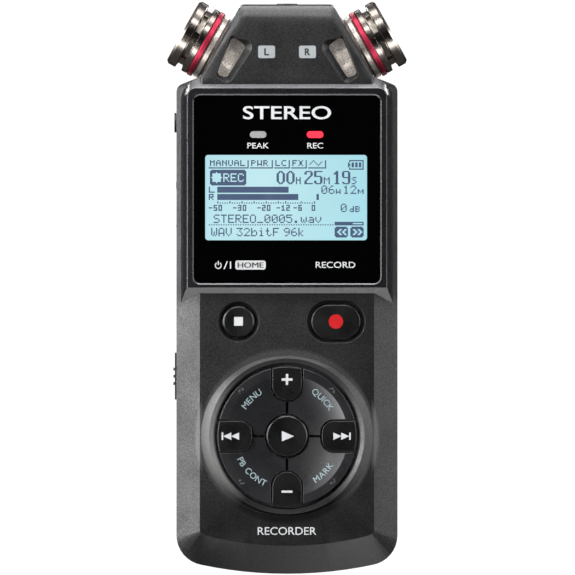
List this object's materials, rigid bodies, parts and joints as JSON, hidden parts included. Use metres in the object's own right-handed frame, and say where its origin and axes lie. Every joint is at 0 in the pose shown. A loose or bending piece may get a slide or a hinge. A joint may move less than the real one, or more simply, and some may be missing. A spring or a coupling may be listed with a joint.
{
  "type": "handheld voice recorder",
  "caption": "Slim handheld stereo voice recorder with angled microphone heads, framed display, key wheel and a sliding battery door.",
  "frame": {"origin": "bottom centre of the whole object's box, standing with the microphones up", "axes": "+Z towards the microphones, +X to the right of a viewer facing the display, +Y from the display towards the back"},
  "size_m": [0.06, 0.026, 0.143],
  "materials": {
    "case": "charcoal, fine moulded grain",
    "bezel": "satin near-black",
    "window": "polished black acrylic",
    "lcd": "pale cyan reflective display",
    "backlight": "white diffuser",
    "peak_lamp": "milky light pipe",
    "record_lamp": "lit red light pipe",
    "badge": "light grey inlay",
    "circuit_board": "green solder mask",
    "tin_plate": "tinned sheet",
    "chips": "black epoxy",
    "spring_steel": "nickel-plated",
    "silicone": "translucent grey",
    "key_black": "semi-gloss black, printed legends",
    "key_charcoal": "satin charcoal",
    "gunmetal": "warm dark nickel, machined",
    "red_anodised": "red anodised",
    "mesh_steel": "fine woven screen",
    "capsule": "matt can",
    "rubber_sleeve": "soft black",
    "socket_black": "black moulding",
    "side_black": "satin black",
    "speaker_frame": "dark frame",
    "felt": "black acoustic felt",
    "brass": "turned",
    "cell_wrap": "printed sleeve, plain",
    "screw_black": "black zinc"
  },
  "bodies": {
    "case": {"front_case": "case", "rear_case": "case", "display_bezel": "bezel", "display_window": "window", "lcd_panel": "lcd", "lcd_backlight": "backlight", "peak_indicator": "peak_lamp", "record_indicator": "record_lamp", "channel_badges": "badge", "main_board": "circuit_board", "processor_shield": "tin_plate", "board_chips": "chips", "dome_switches": "spring_steel", "key_membrane": "silicone", "mic_barrel_left": "gunmetal", "mic_barrel_right": "gunmetal", "mic_accent_ring_left": "red_anodised", "mic_accent_ring_right": "red_anodised", "mic_cage_left": "gunmetal", "mic_cage_right": "gunmetal", "mic_screen_left": "mesh_steel", "mic_screen_right": "mesh_steel", "mic_capsule_left": "capsule", "mic_capsule_right": "capsule", "mic_sleeve_left": "rubber_sleeve", "mic_sleeve_right": "rubber_sleeve", "external_mic_jack": "socket_black", "phones_jack": "socket_black", "usb_port": "tin_plate", "card_socket": "tin_plate", "memory_card": "chips", "volume_switch": "chips", "hold_switch": "chips", "speaker": "speaker_frame", "speaker_felt": "felt", "tripod_bush": "brass", "battery_cells": "cell_wrap", "battery_springs": "spring_steel", "battery_contacts": "spring_steel", "case_screws": "screw_black", "board_screws": "spring_steel"},
    "stop_key": {"stop_key": "key_black"},
    "record_key": {"record_key": "key_black"},
    "play_key": {"play_key": "key_black"},
    "plus_key": {"plus_key": "key_black"},
    "minus_key": {"minus_key": "key_black"},
    "previous_key": {"previous_key": "key_black"},
    "next_key": {"next_key": "key_black"},
    "menu_key": {"menu_key": "key_charcoal"},
    "quick_key": {"quick_key": "key_charcoal"},
    "playback_key": {"playback_key": "key_charcoal"},
    "mark_key": {"mark_key": "key_charcoal"},
    "volume_rocker": {"volume_rocker": "side_black"},
    "hold_slider": {"hold_slider": "side_black"},
    "card_cover": {"card_cover": "side_black"},
    "battery_door": {"battery_door": "case"}
  },
  "joints": [
    {"name": "stop_key_press", "type": "slide", "parent": "case", "child": "stop_key", "axis": [0, 1, 0], "range_m": [0, 0.0004]},
    {"name": "record_key_press", "type": "slide", "parent": "case", "child": "record_key", "axis": [0, 1, 0], "range_m": [0, 0.0004]},
    {"name": "play_key_press", "type": "slide", "parent": "case", "child": "play_key", "axis": [0, 1, 0], "range_m": [0, 0.0004]},
    {"name": "plus_key_press", "type": "slide", "parent": "case", "child": "plus_key", "axis": [0, 1, 0], "range_m": [0, 0.0004]},
    {"name": "minus_key_press", "type": "slide", "parent": "case", "child": "minus_key", "axis": [0, 1, 0], "range_m": [0, 0.0004]},
    {"name": "previous_key_press", "type": "slide", "parent": "case", "child": "previous_key", "axis": [0, 1, 0], "range_m": [0, 0.0004]},
    {"name": "next_key_press", "type": "slide", "parent": "case", "child": "next_key", "axis": [0, 1, 0], "range_m": [0, 0.0004]},
    {"name": "menu_key_press", "type": "slide", "parent": "case", "child": "menu_key", "axis": [0, 1, 0], "range_m": [0, 0.0004]},
    {"name": "quick_key_press", "type": "slide", "parent": "case", "child": "quick_key", "axis": [0, 1, 0], "range_m": [0, 0.0004]},
    {"name": "playback_key_press", "type": "slide", "parent": "case", "child": "playback_key", "axis": [0, 1, 0], "range_m": [0, 0.0004]},
    {"name": "mark_key_press", "type": "slide", "parent": "case", "child": "mark_key", "axis": [0, 1, 0], "range_m": [0, 0.0004]},
    {"name": "volume_rocker_tilt", "type": "hinge", "parent": "case", "child": "volume_rocker", "pos_m": [-0.0255, -0.0036, 0.092], "axis": [0, 1, 0], "range_deg": [-2.5, 2.5]},
    {"name": "hold_slider_slide", "type": "slide", "parent": "case", "child": "hold_slider", "axis": [0, 0, 1], "range_m": [0, 0.002]},
    {"name": "card_cover_hinge", "type": "hinge", "parent": "case", "child": "card_cover", "pos_m": [0.02715, -0.00285, 0.0923], "axis": [0, 0, 1], "range_deg": [0, 90]},
    {"name": "battery_door_slide", "type": "slide", "parent": "case", "child": "battery_door", "axis": [0, 0, -1], "range_m": [0, 0.062]}
  ]
}
